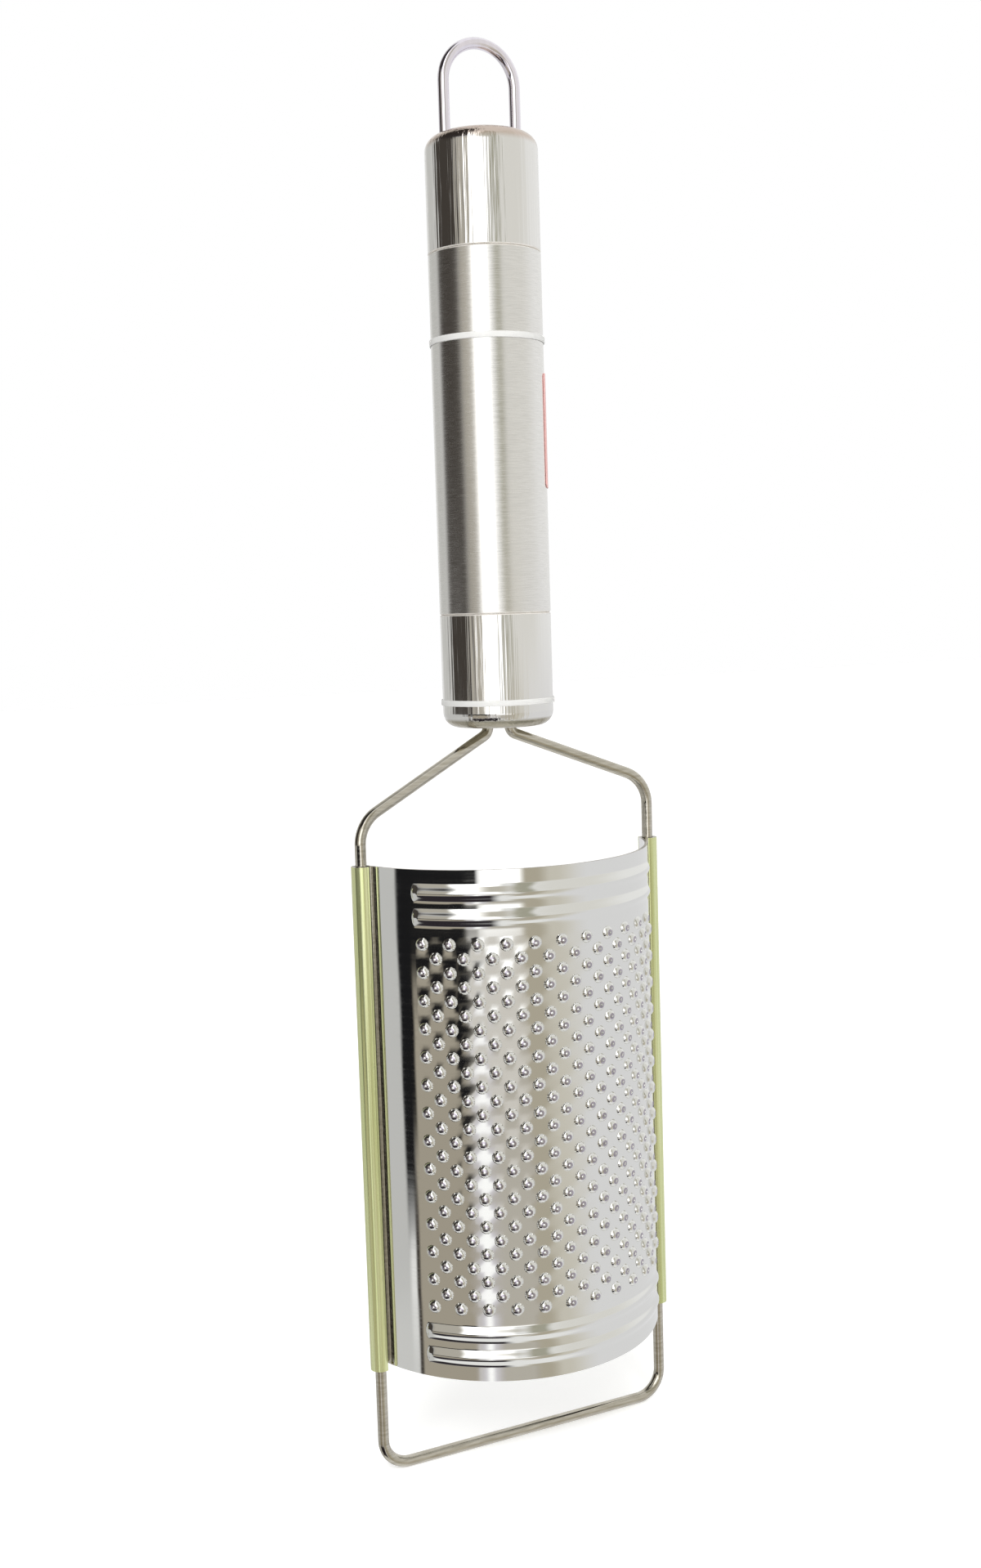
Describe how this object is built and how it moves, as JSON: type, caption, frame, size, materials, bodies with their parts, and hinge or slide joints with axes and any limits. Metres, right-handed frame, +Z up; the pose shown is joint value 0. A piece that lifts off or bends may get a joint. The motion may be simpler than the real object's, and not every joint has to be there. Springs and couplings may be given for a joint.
{
  "type": "cheese grater",
  "caption": "Hand cheese grater: round hollow handle with a hanging loop, bent wire frame and a deep curved steel sheet of raised piercing teeth with edges rolled round the wires.",
  "frame": {"origin": "inside of the hanging loop's crown, where a hook carries the grater", "axes": "+Z up along the handle towards the loop, the grating face looks along -Y, +X is to the right seen from the grating face"},
  "size_m": [0.0682, 0.0383, 0.2792],
  "materials": {
    "polished_steel": "polished",
    "brushed_tube": "brushed around the tube",
    "bright_wire": "bright drawn",
    "mirror_sheet": "mirror",
    "edge_film": "translucent film",
    "clear_band": "clear",
    "red_paper": "satin paper"
  },
  "bodies": {
    "root": {"top_cap": "polished_steel", "handle_tube": "brushed_tube", "bottom_cap": "polished_steel", "hanging_loop": "bright_wire", "wire_frame": "bright_wire", "grater_blade": "mirror_sheet", "left_edge_film": "edge_film", "right_edge_film": "edge_film", "upper_band": "clear_band", "lower_band": "clear_band", "paper_label": "red_paper"}
  },
  "joints": []
}
